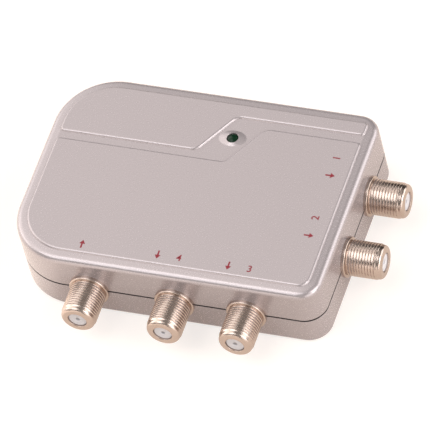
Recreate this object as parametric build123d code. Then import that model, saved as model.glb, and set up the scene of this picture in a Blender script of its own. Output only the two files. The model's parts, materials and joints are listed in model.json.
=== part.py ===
from build123d import *
import math
import os

# Active signal splitter: a palm-sized plastic box with an amplifier inside, which takes one aerial
# signal on a threaded coaxial socket and gives it out on four more.
# Origin: centre of the underside. +X to the right, where outputs 1 and 2 stand, +Y to the back wall
# with the power inlet, +Z up.

os.makedirs("parts", exist_ok=True)

# Case
case_length = 87.0
case_depth = 60.7
lower_shell_height = 8.7
upper_shell_height = 11.3
left_corner_radius = 16.0
right_corner_radius = 6.0
wall = 2.0
floor = 2.0
roof = 2.0
top_edge_radius = 1.8
bottom_edge_radius = 1.0
shadow_gap = 0.4
tongue_thickness = 0.9
tongue_height = 1.2
fit_clearance = 0.1

# Raised panels on the roof, with a sunk band between them that turns twice beside the lamp
rim_width = 3.25
panel_step = 0.5
panel_edge_chamfer = 0.4
back_panel_wide = 16.4
back_panel_narrow = 4.0
band_width_left = 2.6
band_width_right = 2.7
main_turn_past_lamp = 0.55
back_turn_before_lamp = 8.45
panel_turn_radius = 3.0
diagonal_angle = 58.5
panel_corner_radius = 1.0
main_panel_front_radius = 3.0

# Indicator lamp and its dish
lamp_from_right = 37.35
lamp_from_back = 14.2
lamp_guide_wall = 1.0
lamp_diameter = 3.0
lamp_body_height = 5.3
lamp_collar_diameter = 3.8
lamp_collar_height = 1.0
lamp_nose_radius = 0.5
lamp_stand = 0.5
lead_pitch = 2.54
lead_width = 0.5
dish_length = 7.9
dish_width = 5.3
dish_depth = 0.8
dish_side_run = 0.75
dish_side_depth = 0.65

# Threaded sockets, all on the parting line: three on the front wall, two on the right wall
input_from_left = 23.1
output_3_from_right = 20.5
front_output_pitch = 19.8
output_1_from_back = 18.25
side_output_pitch = 20.2
thread_diameter = 9.525
thread_length = 8.4
collar_diameter = 10.8
collar_thickness = 1.0
nose_diameter = 9.1
nose_length = 1.2
nose_rounding = 0.7
collar_rounding = 0.25
neck_diameter = 9.8
flange_side = 11.0
flange_thickness = 1.2
flange_corner_radius = 1.5
flange_guide_thickness = 1.2
block_width = 9.6
block_length = 5.0
block_rise = 4.6
socket_leg_diameter = 1.0
insulator_diameter = 4.9
insulator_recess = 0.4
insulator_tail_diameter = 3.1
entry_diameter = 1.2
entry_lip = 0.8
contact_diameter = 1.8
contact_bore = 1.0
contact_bore_depth = 6.0
contact_tail_diameter = 0.8
contact_tail_bend = 1.2
seat_clearance = 0.05
pilot_run_out = 0.5
overrun = 1.0

# Circuit board
board_thickness = 1.6
axis_above_board = 2.5
board_edge_gap = 0.4
flange_gap = 0.2
hole_clearance = 0.15
pin_stub = 1.0
standoff_diameter = 5.0
board_screw_diameter = 2.2
board_screw_head_diameter = 4.2
board_screw_head_height = 1.4
board_screw_length = 4.0

# Case screws, their columns, and the webs that join the columns to the walls
left_column_inset = 9.0
right_column_inset = 6.4
column_diameter = 6.4
column_web_thickness = 1.2
case_screw_diameter = 2.6
case_screw_length = 13.5
case_screw_head_diameter = 5.2
case_screw_head_height = 1.5
screw_recess_depth = 1.8
screw_recess_clearance = 0.25
screw_point = 1.0
screw_tip_share = 0.3
screw_crown_share = 0.75
cross_width = 0.8
cross_depth = 0.8

# Power inlet
inlet_from_left = 31.5
inlet_width = 9.0
inlet_headroom = 0.3
inlet_depth = 13.5
inlet_bore = 6.4
inlet_bore_depth = 9.5
inlet_pin_diameter = 2.1
inlet_pin_recess = 2.6
inlet_window = 6.8
inlet_gap = 0.2
spring_width = 3.0
spring_thickness = 0.4
spring_heel = 1.2
spring_run = 3.0
spring_press = 0.4
spring_fall = 0.8
spring_slot_bite = 0.6
inlet_shoulder_radius = 1.5
inlet_pin_nose = 0.4
inlet_leg_width = 2.0

# Supply parts
capacitor_1_diameter = 8.0
capacitor_2_diameter = 6.3
capacitor_1_headroom = 1.8
capacitor_2_headroom = 3.3
can_edge = 0.4
can_groove_height = 1.6
can_groove_depth = 0.4
capacitor_lead_pitch = 3.0
capacitor_lead_diameter = 0.6
regulator_diameter = 4.8
regulator_height = 4.8
regulator_flat = 1.3
regulator_lift = 1.5
choke_diameter = 6.5
choke_height = 5.5
choke_waist = 3.6
choke_flange = 1.0
choke_winding_gap = 0.4
diode_diameter = 2.7
diode_length = 5.2
diode_lead_diameter = 0.7
diode_lead_reach = 1.8

# Signal parts
chip_length = 5.0
chip_width = 4.0
chip_height = 1.5
chip_bevel = 0.2
chip_leg_count = 4
chip_leg_pitch = 1.27
chip_leg_width = 0.4
chip_leg_thickness = 0.25
chip_leg_reach = 1.0
core_width = 6.0
core_height = 3.6
core_depth = 5.0
core_bore = 1.8
core_bore_pitch = 2.9
core_edge_radius = 1.1
winding_diameter = 1.3
surface_part_length = 3.2
surface_part_width = 1.6
surface_part_height = 0.9
capacitor_behind_tail = 3.0
resistor_beside_core = 2.0

# Places on the board, from its left or right edge and its back or front edge
standoff_1_from_left = 4.5
standoff_1_from_back = 24.95
standoff_2_from_right = 13.0
standoff_2_from_back = 5.0
standoff_3_from_right = 9.0
standoff_3_from_front = 9.5
capacitors_from_left = 12.5
capacitor_1_from_back = 14.5
capacitor_2_from_back = 25.5
regulator_from_left = 21.5
regulator_from_back = 19.0
choke_from_left = 31.0
choke_from_back = 20.5
diode_from_left = 20.5
diode_from_back = 26.5
chip_from_left = 20.0
chip_from_front = 15.0
core_1_from_left = 36.0
core_1_from_front = 14.5
core_2_from_left = 53.0
core_2_from_front = 13.5
core_3_from_right = 15.5
core_3_past_output_2 = 8.25
lamp_resistor_from_lamp = 7.0

# Heights worked out from the driving dimensions
parting_height = lower_shell_height
case_height = lower_shell_height + upper_shell_height
rim_height = case_height - panel_step
ceiling = rim_height - roof
half_gap = shadow_gap / 2
axis_height = parting_height
board_top = axis_height - axis_above_board
board_bottom = board_top - board_thickness
lamp_top = rim_height + lamp_stand
lamp_base = lamp_top - lamp_body_height
inlet_top = ceiling - inlet_headroom
inlet_axis = (parting_height + ceiling) / 2

# Places worked out from the driving dimensions
case_left = -case_length / 2
case_right = case_length / 2
case_front = -case_depth / 2
case_back = case_depth / 2
flange_back = wall + fit_clearance + flange_thickness
board_left = case_left + wall + board_edge_gap
board_back = case_back - wall - board_edge_gap
board_right = case_right - flange_back - flange_gap
board_front = case_front + flange_back + flange_gap
socket_reach = collar_thickness + thread_length + nose_length
tail_place = flange_back + block_length + contact_tail_bend
input_x = case_left + input_from_left
output_3_x = case_right - output_3_from_right
output_4_x = output_3_x - front_output_pitch
output_1_y = case_back - output_1_from_back
output_2_y = output_1_y - side_output_pitch
inlet_x = case_left + inlet_from_left
inlet_face = case_back - wall - inlet_gap
lamp_x = case_right - lamp_from_right
lamp_y = case_back - lamp_from_back

# Panel outlines
panel_left = case_left + rim_width
panel_right = case_right - rim_width
panel_front = case_front + rim_width
panel_back = case_back - rim_width
back_panel_front_left = panel_back - back_panel_wide
back_panel_front_right = panel_back - back_panel_narrow
main_panel_back_left = back_panel_front_left - band_width_left
main_panel_back_right = back_panel_front_right - band_width_right
diagonal_run = 1 / math.tan(math.radians(diagonal_angle))
main_panel_turn = lamp_x + main_turn_past_lamp
back_panel_turn = lamp_x - back_turn_before_lamp
main_panel_shoulder = main_panel_turn + (main_panel_back_right - main_panel_back_left) * diagonal_run
back_panel_shoulder = back_panel_turn + (back_panel_front_right - back_panel_front_left) * diagonal_run

column_places = [
    (case_left + left_column_inset, case_front + left_column_inset),
    (case_left + left_column_inset, case_back - left_column_inset),
    (case_right - right_column_inset, case_front + right_column_inset),
    (case_right - right_column_inset, case_back - right_column_inset),
]
standoff_places = [
    (board_left + standoff_1_from_left, board_back - standoff_1_from_back),
    (board_right - standoff_2_from_right, board_back - standoff_2_from_back),
    (board_right - standoff_3_from_right, board_front + standoff_3_from_front),
]
sockets = {
    "input": Pos(input_x, case_front, axis_height) * Rot(0, 0, -90),
    "output_1": Pos(case_right, output_1_y, axis_height),
    "output_2": Pos(case_right, output_2_y, axis_height),
    "output_3": Pos(output_3_x, case_front, axis_height) * Rot(0, 0, -90),
    "output_4": Pos(output_4_x, case_front, axis_height) * Rot(0, 0, -90),
}
capacitor_places = [
    (board_left + capacitors_from_left, board_back - capacitor_1_from_back),
    (board_left + capacitors_from_left, board_back - capacitor_2_from_back),
]
regulator_place = (board_left + regulator_from_left, board_back - regulator_from_back)
choke_place = (board_left + choke_from_left, board_back - choke_from_back)
diode_place = (board_left + diode_from_left, board_back - diode_from_back)
chip_place = (board_left + chip_from_left, board_front + chip_from_front)
core_places = [
    (board_left + core_1_from_left, board_front + core_1_from_front),
    (board_left + core_2_from_left, board_front + core_2_from_front),
    (board_right - core_3_from_right, output_2_y + core_3_past_output_2),
]
lamp_resistor_place = (lamp_x + lamp_resistor_from_lamp, lamp_y)


def column(x, y, low, high, diameter):
    """Upright round piece from one height to another."""
    rise = high - low
    return Pos(x, y, low) * Cylinder(diameter / 2, rise, align=(Align.CENTER, Align.CENTER, Align.MIN))


def block(x_range, y_range, z_range):
    """Box between two values on each axis."""
    size = [pair[1] - pair[0] for pair in (x_range, y_range, z_range)]
    corner = Pos(x_range[0], y_range[0], z_range[0])
    return corner * Box(*size, align=(Align.MIN, Align.MIN, Align.MIN))


def turned_along_x(points):
    """Solid of revolution about X, from (place, radius) points."""
    outline = Plane.XZ * make_face(Polyline(*points, close=True))
    return revolve(outline, Axis.X, 360)


def turned_upright(points):
    """Solid of revolution about Z, from (radius, height) points."""
    outline = Plane.XZ * make_face(Polyline(*points, close=True))
    return revolve(outline, Axis.Z, 360)


def plan(inset):
    """Plan outline of the case drawn in by inset: two large corners left, two small ones right."""
    outline = Rectangle(case_length - 2 * inset, case_depth - 2 * inset)
    left = outline.vertices().sort_by(Axis.X)[:2]
    outline = fillet(left, left_corner_radius - inset)
    right = outline.vertices().sort_by(Axis.X)[-2:]
    return fillet(right, max(right_corner_radius - inset, fit_clearance))


def slab(inset, low, high):
    """Prism of the plan outline between two heights."""
    return Pos(0, 0, low) * extrude(plan(inset), high - low)


def rounded_outline(corners):
    """Closed outline from (x, y, radius) corners."""
    outline = make_face(Polyline(*[(x, y) for x, y, radius in corners], close=True))
    for x, y, radius in corners:
        nearest = outline.vertices().sort_by_distance((x, y))[0]
        if radius > 0:
            outline = fillet(nearest, radius)
    return outline


def main_panel_outline():
    """Large panel: its back edge steps back along the diagonal."""
    return rounded_outline([
        (panel_left, panel_front, left_corner_radius - rim_width),
        (panel_right, panel_front, main_panel_front_radius),
        (panel_right, main_panel_back_right, panel_corner_radius),
        (main_panel_shoulder, main_panel_back_right, panel_turn_radius),
        (main_panel_turn, main_panel_back_left, panel_turn_radius),
        (panel_left, main_panel_back_left, panel_corner_radius),
    ])


def back_panel_outline():
    """Narrow panel along the back: its front edge runs beside the main panel's."""
    return rounded_outline([
        (panel_left, panel_back, left_corner_radius - rim_width),
        (panel_left, back_panel_front_left, panel_corner_radius),
        (back_panel_turn, back_panel_front_left, panel_turn_radius),
        (back_panel_shoulder, back_panel_front_right, panel_turn_radius),
        (panel_right, back_panel_front_right, panel_corner_radius),
        (panel_right, panel_back, panel_corner_radius),
    ])


def raised_panel(outline):
    """Panel that stands panel_step above the rim, with a sloped edge round its top."""
    root = roof / 2
    panel = Pos(0, 0, rim_height - root) * extrude(outline, panel_step + root)
    return chamfer(panel.edges().group_by(Axis.Z)[-1], panel_edge_chamfer)


def lamp_dish():
    """Oval dish with steep sides and a shallow floor that runs down to the lamp hole."""
    hole = lamp_diameter + 2 * fit_clearance
    mouth = Ellipse(dish_length / 2, dish_width / 2)
    side_foot = Ellipse(dish_length / 2 - dish_side_run, dish_width / 2 - dish_side_run)
    foot = Pos(0, 0, -dish_depth) * Circle(hole / 2)
    dish = loft([foot, Pos(0, 0, -dish_side_depth) * side_foot, mouth], ruled=True)
    dish += extrude(mouth, panel_step)
    return Pos(lamp_x, lamp_y, rim_height) * dish + column(
        lamp_x, lamp_y, lamp_base, rim_height, hole
    )


def lamp_guide():
    """Ring under the roof that the lamp stands in, down to its collar."""
    low = lamp_base + lamp_collar_height + fit_clearance
    outer = lamp_diameter + 2 * (fit_clearance + lamp_guide_wall)
    return column(lamp_x, lamp_y, low, ceiling + roof / 2, outer)


def wall_windows():
    """Round ways through the walls for the sockets' necks and the power plug."""
    neck_way = Rot(0, 90, 0) * Cylinder(neck_diameter / 2 + fit_clearance, 2 * wall + overrun)
    plug_way = Rot(90, 0, 0) * Cylinder(inlet_window / 2, 2 * wall)
    windows = [place * Pos(-wall / 2, 0, 0) * neck_way for place in sockets.values()]
    windows.append(Pos(inlet_x, case_back - wall / 2, inlet_axis) * plug_way)
    return windows


def column_webs(low, high):
    """Two webs for each column, out to the nearest walls."""
    half = column_web_thickness / 2
    webs = []
    for x, y in column_places:
        x_side = (case_left, x) if x < 0 else (x, case_right)
        y_side = (case_front, y) if y < 0 else (y, case_back)
        webs.append(block(x_side, (y - half, y + half), (low, high)))
        webs.append(block((x - half, x + half), y_side, (low, high)))
    return webs


def flange_guides(low, high):
    """Two ribs on the wall beside each socket's flange, which keep it from turning."""
    near = flange_side / 2 + fit_clearance
    far = near + flange_guide_thickness
    depth = (-wall - flange_thickness, 0)
    guides = []
    for place in sockets.values():
        for side in ((near, far), (-far, -near)):
            guides.append(place * Pos(0, 0, -axis_height) * block(depth, side, (low, high)))
    return guides


def upper_shell():
    rebate = wall - tongue_thickness - fit_clearance
    rebate_top = parting_height + tongue_height + fit_clearance
    outer = slab(0, parting_height + half_gap, rim_height)
    outer = fillet(outer.edges().group_by(Axis.Z)[-1], top_edge_radius)
    outer += raised_panel(main_panel_outline())
    outer += raised_panel(back_panel_outline())
    shell = outer - slab(wall, parting_height - overrun, ceiling)
    inner = slab(rebate, rebate_top, ceiling + roof / 2)
    for rib in column_webs(rebate_top, case_height) + flange_guides(rebate_top, case_height):
        shell += rib & inner
    shell -= slab(rebate, parting_height - overrun, rebate_top)
    for x, y in column_places:
        shell += column(x, y, parting_height + fit_clearance, ceiling + roof / 2, column_diameter)
    pilot = case_screw_diameter + 2 * seat_clearance
    screw_end = screw_recess_depth + case_screw_length
    for x, y in column_places:
        shell -= column(x, y, parting_height - overrun, screw_end + pilot_run_out, pilot)
    shell += lamp_guide()
    shell -= lamp_dish()
    shell -= wall_windows()
    return shell


def lower_shell():
    shell = slab(0, 0, parting_height - half_gap)
    shell = fillet(shell.edges().group_by(Axis.Z)[0], bottom_edge_radius)
    tongue = wall - tongue_thickness
    shell += slab(tongue, parting_height - overrun, parting_height + tongue_height)
    shell -= slab(wall, floor, case_height)
    inner = slab(tongue, floor / 2, parting_height)
    for rib in column_webs(0, parting_height) + flange_guides(0, parting_height):
        shell += rib & inner
    for x, y in column_places:
        shell += column(x, y, floor / 2, parting_height, column_diameter)
    for x, y in standoff_places:
        shell += column(x, y, floor / 2, board_bottom, standoff_diameter)
    recess = case_screw_head_diameter + 2 * screw_recess_clearance
    way = case_screw_diameter + 4 * fit_clearance
    for x, y in column_places:
        shell -= column(x, y, -overrun, screw_recess_depth, recess)
        shell -= column(x, y, 0, parting_height + overrun, way)
    pilot = board_screw_diameter + 2 * seat_clearance
    pilot_end = board_top - board_screw_length - pilot_run_out
    for x, y in standoff_places:
        shell -= column(x, y, pilot_end, board_bottom + overrun, pilot)
    shell -= wall_windows()
    return shell


def cross_recess(depth, width, reach):
    """Cross-shaped driver recess, cut down from height 0."""
    bar = Box(2 * reach, width, depth, align=(Align.CENTER, Align.CENTER, Align.MAX))
    return bar + Rot(0, 0, 90) * bar


def screw(diameter, length, head_diameter, head_height):
    """Pan-head screw standing on its point: the underside of its head is at height 0."""
    r = diameter / 2
    head = head_diameter / 2
    body = turned_upright([
        (0, -length),
        (r * screw_tip_share, -length),
        (r, -length + screw_point),
        (r, 0),
        (head, 0),
        (head, head_height / 2),
        (head * screw_crown_share, head_height),
        (0, head_height),
    ])
    return body - Pos(0, 0, head_height) * cross_recess(cross_depth, cross_width, head / 2)


def case_screws():
    """Four screws driven up from the underside into the upper shell's columns."""
    one = screw(case_screw_diameter, case_screw_length, case_screw_head_diameter, case_screw_head_height)
    upward = Rot(180, 0, 0) * one
    return [Pos(x, y, screw_recess_depth) * upward for x, y in column_places]


def board_screws():
    one = screw(
        board_screw_diameter, board_screw_length, board_screw_head_diameter, board_screw_head_height
    )
    return [Pos(x, y, board_top) * one for x, y in standoff_places]


def socket_body():
    """Turned and milled socket body. Local +X points out of the wall, 0 at the wall's outer face."""
    collar = collar_diameter / 2
    thread = thread_diameter / 2
    nose = nose_diameter / 2
    neck = neck_diameter / 2
    body = turned_along_x([
        (-wall - fit_clearance, 0),
        (-wall - fit_clearance, neck),
        (0, neck),
        (0, collar),
        (collar_thickness, collar),
        (collar_thickness, thread),
        (collar_thickness + thread_length, thread),
        (collar_thickness + thread_length, nose),
        (socket_reach, nose),
        (socket_reach, 0),
    ])
    body = fillet(body.edges().group_by(Axis.X)[-1], nose_rounding)
    rims = body.edges().filter_by(GeomType.CIRCLE)
    outer_rim = [rim for rim in rims if abs(rim.radius - collar) < 1e-6]
    body = fillet(ShapeList(outer_rim).sort_by(Axis.X)[-1], collar_rounding)
    half = flange_side / 2
    flange = block((-flange_back, -wall - fit_clearance), (-half, half), (-half, half))
    body += fillet(flange.edges().filter_by(Axis.X), flange_corner_radius)
    rear = (-flange_back - block_length, -flange_back)
    body += block(rear, (-block_width / 2, block_width / 2), (-axis_above_board, block_rise))
    for x, y in socket_leg_places():
        foot = -axis_above_board - board_thickness - pin_stub
        body += column(x, y, foot, -axis_above_board + seat_clearance, socket_leg_diameter)
    bore = insulator_diameter / 2 + seat_clearance
    tail = insulator_tail_diameter / 2 + seat_clearance
    front = socket_reach + overrun
    body -= turned_along_x([(-wall, 0), (-wall, bore), (front, bore), (front, 0)])
    back = -flange_back - block_length - overrun
    body -= turned_along_x([(back, 0), (back, tail), (-wall, tail), (-wall, 0)])
    return body


def socket_leg_places():
    """Local places of the four ground legs under the socket's rear block."""
    spread = block_width / 2 - socket_leg_diameter
    near = -flange_back - socket_leg_diameter
    far = -flange_back - block_length + socket_leg_diameter
    return [(x, y) for x in (near, far) for y in (-spread, spread)]


def socket_insulator():
    """White sleeve that fills the bore round the contact, with a small entry hole at the front."""
    front = socket_reach - insulator_recess
    shoulder = -wall + seat_clearance
    back = -flange_back - block_length
    outer = insulator_diameter / 2
    tail = insulator_tail_diameter / 2
    entry = entry_diameter / 2
    way = contact_diameter / 2 + seat_clearance
    return turned_along_x([
        (front, entry),
        (front, outer),
        (shoulder, outer),
        (shoulder, tail),
        (back, tail),
        (back, way),
        (front - entry_lip, way),
        (front - entry_lip, entry),
    ])


def socket_contact():
    """Bored contact for the plug's centre wire, with a tail that bends down through the board."""
    front = socket_reach - insulator_recess - entry_lip - seat_clearance
    back = -flange_back - block_length
    r = contact_diameter / 2
    bore = contact_bore / 2
    tube = turned_along_x([
        (back, 0),
        (back, r),
        (front, r),
        (front, bore),
        (front - contact_bore_depth, bore),
        (front - contact_bore_depth, 0),
    ])
    foot = -axis_above_board - board_thickness - pin_stub
    route = FilletPolyline(
        (back, 0, 0), (-tail_place, 0, 0), (-tail_place, 0, foot), radius=contact_tail_diameter
    )
    section = Plane((back, 0, 0), z_dir=(-1, 0, 0)) * Circle(contact_tail_diameter / 2)
    return tube + sweep(section, route)


def board_holes():
    """Places and diameters of every hole through the board."""
    holes = []
    for place in sockets.values():
        for x, y in socket_leg_places():
            spot = (place * Pos(x, y, 0)).position
            holes.append((spot.X, spot.Y, socket_leg_diameter + 2 * hole_clearance))
        spot = (place * Pos(-tail_place, 0, 0)).position
        holes.append((spot.X, spot.Y, contact_tail_diameter + 2 * hole_clearance))
    for x, y in standoff_places:
        holes.append((x, y, board_screw_diameter + 2 * hole_clearance))
    lead_hole = lead_width * math.sqrt(2) + 2 * hole_clearance
    for x, y in lamp_lead_places() + regulator_lead_places():
        holes.append((x, y, lead_hole))
    for x, y in capacitor_lead_places():
        holes.append((x, y, capacitor_lead_diameter + 2 * hole_clearance))
    for x, y in diode_lead_places():
        holes.append((x, y, diode_lead_diameter + 2 * hole_clearance))
    return holes


def circuit_board():
    board = block((board_left, board_right), (board_front, board_back), (board_bottom, board_top))
    board &= slab(wall + board_edge_gap, 0, case_height)
    notch = column_diameter / 2 + 2 * board_edge_gap
    far = case_length
    for x, y in column_places:
        x_side = (-far, x + notch) if x < 0 else (x - notch, far)
        y_side = (-far, y + notch) if y < 0 else (y - notch, far)
        board -= block(x_side, y_side, (0, case_height))
    for x, y, diameter in board_holes():
        board -= column(x, y, 0, board_top + 1, diameter)
    return board


def lamp_lens():
    """Round-nosed lamp with its base collar."""
    r = lamp_diameter / 2
    collar = lamp_collar_diameter / 2
    lens = turned_upright([
        (0, 0),
        (collar, 0),
        (collar, lamp_collar_height),
        (r, lamp_collar_height),
        (r, lamp_body_height),
        (0, lamp_body_height),
    ])
    top = lens.edges().group_by(Axis.Z)[-1]
    return Pos(lamp_x, lamp_y, lamp_base) * fillet(top, lamp_nose_radius)


def lamp_lead_places():
    return [(lamp_x - lead_pitch / 2, lamp_y), (lamp_x + lead_pitch / 2, lamp_y)]


def lamp_leads():
    """Two square wires from the lamp down through the board."""
    half = lead_width / 2
    foot = board_bottom - pin_stub
    leads = []
    for x, y in lamp_lead_places():
        leads.append(block((x - half, x + half), (y - half, y + half), (foot, lamp_base)))
    return leads


def inlet_housing():
    """Moulded inlet: a square body with a deep round bore, side slot for the spring, board feet."""
    half = inlet_width / 2
    back = inlet_face - inlet_depth
    housing = block((inlet_x - half, inlet_x + half), (back, inlet_face), (board_top, inlet_top))
    shoulders = housing.edges().filter_by(Axis.Y).group_by(Axis.Z)[-1]
    housing = fillet(shoulders, inlet_shoulder_radius)
    bore_end = inlet_face - inlet_bore_depth
    along = Pos(inlet_x, inlet_face, inlet_axis) * Rot(0, 0, 90)
    r = inlet_bore / 2
    mouth = [(-inlet_bore_depth, 0), (-inlet_bore_depth, r), (overrun, r), (overrun, 0)]
    housing -= along * turned_along_x(mouth)
    pin = inlet_pin_diameter / 2 + seat_clearance
    housing -= along * turned_along_x([
        (-inlet_depth - overrun, 0),
        (-inlet_depth - overrun, pin),
        (-inlet_bore_depth + overrun, pin),
        (-inlet_bore_depth + overrun, 0),
    ])
    slot = spring_width / 2 + fit_clearance
    housing -= block(
        (inlet_x - slot, inlet_x + slot),
        (bore_end - spring_thickness - fit_clearance, inlet_face - inlet_pin_recess),
        (board_top - overrun, inlet_axis - r + spring_slot_bite),
    )
    return housing


def inlet_pin():
    """Centre pin of the inlet, with a flat lug behind the housing that stands on the board."""
    r = inlet_pin_diameter / 2
    along = Pos(inlet_x, inlet_face, inlet_axis) * Rot(0, 0, 90)
    nose = inlet_pin_nose
    pin = along * turned_along_x([
        (-inlet_depth, 0),
        (-inlet_depth, r),
        (-inlet_pin_recess - nose, r),
        (-inlet_pin_recess, r - nose),
        (-inlet_pin_recess, 0),
    ])
    half = inlet_leg_width / 2
    back = inlet_face - inlet_depth
    lug = block(
        (inlet_x - half, inlet_x + half),
        (back - spring_thickness, back),
        (board_top, inlet_axis + r),
    )
    return pin + lug


def inlet_spring():
    """Leaf that presses on the plug's sleeve from below, bent up from its foot on the board."""
    half = spring_width / 2
    bore_end = inlet_face - inlet_bore_depth
    front = inlet_face - inlet_pin_recess - overrun
    crest = inlet_axis - inlet_bore / 2 + spring_press
    line = Polyline(
        (bore_end, board_top),
        (bore_end, board_top + spring_heel),
        (bore_end + spring_run, crest),
        (front, crest - spring_fall),
    )
    strip = trace(line, spring_thickness)
    leaf = extrude(Plane.YZ * strip, half, both=True)
    rise = board_top - leaf.bounding_box().min.Z
    return Pos(inlet_x, 0, max(rise, 0)) * leaf


def capacitor(place, diameter, headroom):
    """Upright can with the rolled groove above its base, standing clear of the roof by headroom."""
    r = diameter / 2
    height = ceiling - headroom - board_top
    return Pos(*place, board_top) * turned_upright([
        (0, 0),
        (r - can_edge, 0),
        (r, can_edge),
        (r, can_groove_height - can_groove_depth),
        (r - can_groove_depth, can_groove_height),
        (r, can_groove_height + can_groove_depth),
        (r, height - can_edge),
        (r - can_edge, height),
        (0, height),
    ])


def capacitor_lead_places():
    half = capacitor_lead_pitch / 2
    return [(x + side * half, y) for x, y in capacitor_places for side in (-1, 1)]


def capacitor_leads():
    foot = board_bottom - pin_stub
    return [column(x, y, foot, board_top, capacitor_lead_diameter) for x, y in capacitor_lead_places()]


def voltage_regulator():
    """Half-round transistor-style package standing on three legs."""
    x, y = regulator_place
    low = board_top + regulator_lift
    body = column(x, y, low, low + regulator_height, regulator_diameter)
    far = regulator_diameter
    return body - block((x - far, x + far), (y + regulator_flat, y + far), (low - 1, low + far * 2))


def regulator_lead_places():
    x, y = regulator_place
    return [(x + side * chip_leg_pitch, y) for side in (-1, 0, 1)]


def regulator_legs():
    half = lead_width / 2
    foot = board_bottom - pin_stub
    top = board_top + regulator_lift
    places = regulator_lead_places()
    return [block((x - half, x + half), (y - half, y + half), (foot, top)) for x, y in places]


def choke_core():
    """Drum-shaped ferrite core."""
    r = choke_diameter / 2
    waist = choke_waist / 2
    core = turned_upright([
        (0, 0),
        (r, 0),
        (r, choke_flange),
        (waist, choke_flange),
        (waist, choke_height - choke_flange),
        (r, choke_height - choke_flange),
        (r, choke_height),
        (0, choke_height),
    ])
    return Pos(*choke_place, board_top) * core


def choke_winding():
    """Closed ring of wire round the drum's waist."""
    outer = choke_diameter / 2 - choke_winding_gap
    inner = choke_waist / 2 + seat_clearance
    low = choke_flange + seat_clearance
    high = choke_height - choke_flange - seat_clearance
    ring = turned_upright([(inner, low), (outer, low), (outer, high), (inner, high)])
    return Pos(*choke_place, board_top) * ring


def diode_lead_places():
    x, y = diode_place
    reach = diode_length / 2 + diode_lead_reach
    return [(x - reach, y), (x + reach, y)]


def polarity_diode():
    """Round diode lying just above the board."""
    x, y = diode_place
    height = board_top + diode_diameter / 2 + fit_clearance
    return Pos(x, y, height) * Rot(0, 90, 0) * Cylinder(diode_diameter / 2, diode_length)


def diode_leads():
    """Wire from each end of the diode, bent down through the board."""
    x, y = diode_place
    height = board_top + diode_diameter / 2 + fit_clearance
    foot = board_bottom - pin_stub
    leads = []
    for side, place in zip((-1, 1), diode_lead_places()):
        end = x + side * diode_length / 2
        route = FilletPolyline(
            (end, y, height), (place[0], y, height), (place[0], y, foot), radius=diode_lead_diameter
        )
        section = Plane((end, y, height), z_dir=(side, 0, 0)) * Circle(diode_lead_diameter / 2)
        leads.append(sweep(section, route))
    return leads


def amplifier_chip():
    x, y = chip_place
    low = board_top + fit_clearance
    body = block(
        (x - chip_length / 2, x + chip_length / 2),
        (y - chip_width / 2, y + chip_width / 2),
        (low, low + chip_height),
    )
    return chamfer(body.edges().group_by(Axis.Z)[-1], chip_bevel)


def amplifier_legs():
    """Legs along both long sides of the chip, each stepped down to the board."""
    x, y = chip_place
    t = chip_leg_thickness
    middle = board_top + fit_clearance + chip_height / 2
    edge = chip_width / 2
    legs = []
    for number in range(chip_leg_count):
        place = x + (number - (chip_leg_count - 1) / 2) * chip_leg_pitch
        for side in (-1, 1):
            profile = make_face(Polyline(
                (edge, middle),
                (edge + t * 2, middle),
                (edge + t * 2, board_top + t),
                (edge + chip_leg_reach, board_top + t),
                (edge + chip_leg_reach, board_top),
                (edge + t, board_top),
                (edge + t, middle - t),
                (edge, middle - t),
                close=True,
            ))
            leg = extrude(Plane.YZ * profile, chip_leg_width / 2, both=True)
            if side < 0:
                leg = mirror(leg, Plane.XZ)
            legs.append(Pos(place, y, 0) * leg)
    return legs


def splitter_core(place):
    """Two-holed ferrite bead that lies on the board, its bores along Y."""
    x, y = place
    body = block(
        (x - core_width / 2, x + core_width / 2),
        (y - core_depth / 2, y + core_depth / 2),
        (board_top, board_top + core_height),
    )
    body = fillet(body.edges().filter_by(Axis.Y), core_edge_radius)
    middle = board_top + core_height / 2
    for side in (-1, 1):
        spot = Pos(x + side * core_bore_pitch / 2, y, middle)
        body -= spot * Rot(90, 0, 0) * Cylinder(core_bore / 2, core_depth * 2)
    return body


def splitter_winding(place):
    """Bundle of wire that passes out through one bore and back through the other."""
    x, y = place
    r = winding_diameter / 2
    turn = core_bore_pitch / 2
    straight = core_depth + 2 * fit_clearance
    loop = revolve(Plane.XZ * Pos(turn, 0) * Circle(r), Axis.Z, 180)
    ring = Pos(0, straight / 2, 0) * loop + Pos(0, -straight / 2, 0) * Rot(0, 0, 180) * loop
    for side in (-1, 1):
        ring += Pos(side * turn, 0, 0) * Rot(90, 0, 0) * Cylinder(r, straight)
    return Pos(x, y, board_top + core_height / 2) * ring


def surface_part(x, y, turned):
    """Small brick-shaped part that lies on the board."""
    long = surface_part_length / 2
    short = surface_part_width / 2
    dx, dy = (short, long) if turned else (long, short)
    return block((x - dx, x + dx), (y - dy, y + dy), (board_top, board_top + surface_part_height))


def blocking_capacitors():
    """One for each socket, in line with its contact's tail."""
    parts = []
    for place in sockets.values():
        spot = (place * Pos(-tail_place - capacitor_behind_tail, 0, 0)).position
        parts.append(surface_part(spot.X, spot.Y, turned=abs(place.orientation.Z) > 1))
    return parts


def balancing_resistors():
    """One beside each splitter core, and one for the lamp."""
    beside = core_width / 2 + resistor_beside_core
    parts = [surface_part(x + beside, y, True) for x, y in core_places]
    parts.append(surface_part(*lamp_resistor_place, False))
    return parts


def write(name, shape):
    """Writes one node's solid or group of solids to its own file."""
    if isinstance(shape, list):
        shape = Compound(children=shape)
    export_step(shape, f"parts/{name}.step")


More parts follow.
